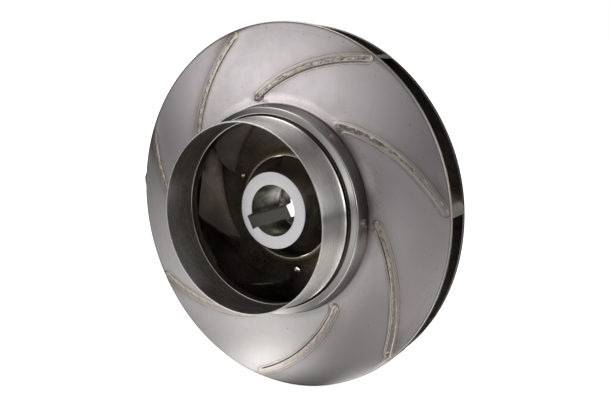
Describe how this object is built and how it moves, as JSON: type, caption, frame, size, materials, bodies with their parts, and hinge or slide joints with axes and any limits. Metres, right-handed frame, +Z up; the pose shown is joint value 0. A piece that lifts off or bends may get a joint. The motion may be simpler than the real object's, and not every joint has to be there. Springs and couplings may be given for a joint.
{
  "type": "closed pump impeller",
  "caption": "Closed centrifugal pump impeller welded from pressed stainless sheet, with a turned suction ring, swept vanes and a keyed hub.",
  "frame": {"origin": "on the shaft axis, at the middle of the hub's back face", "axes": "+Y runs along the shaft axis from the suction eye to the back of the hub, +X is to the right seen from the eye, +Z is up; the impeller stands upright"},
  "size_m": [0.2, 0.067, 0.1998],
  "materials": {
    "pressed_sheet": "pickled matt stainless sheet with faint heat tint beside the seams",
    "turned_ring": "fine turned stainless, satin",
    "turned_hub": "faced and bored stainless, bright matt face",
    "vane_sheet": "rolled stainless sheet, darkened by welding heat",
    "weld_bead": "rippled weld bead with straw and brown heat tint"
  },
  "bodies": {
    "root": {"wear_ring": "turned_ring", "front_shroud": "pressed_sheet", "back_shroud": "pressed_sheet", "hub": "turned_hub", "vane_1": "vane_sheet", "vane_2": "vane_sheet", "vane_3": "vane_sheet", "vane_4": "vane_sheet", "vane_5": "vane_sheet", "vane_6": "vane_sheet", "vane_7": "vane_sheet", "front_weld_1": "weld_bead", "front_weld_2": "weld_bead", "front_weld_3": "weld_bead", "front_weld_4": "weld_bead", "front_weld_5": "weld_bead", "front_weld_6": "weld_bead", "front_weld_7": "weld_bead", "rear_weld_1": "weld_bead", "rear_weld_2": "weld_bead", "rear_weld_3": "weld_bead", "rear_weld_4": "weld_bead", "rear_weld_5": "weld_bead", "rear_weld_6": "weld_bead", "rear_weld_7": "weld_bead", "hub_weld_front": "weld_bead", "hub_weld_rear": "weld_bead"}
  },
  "joints": []
}
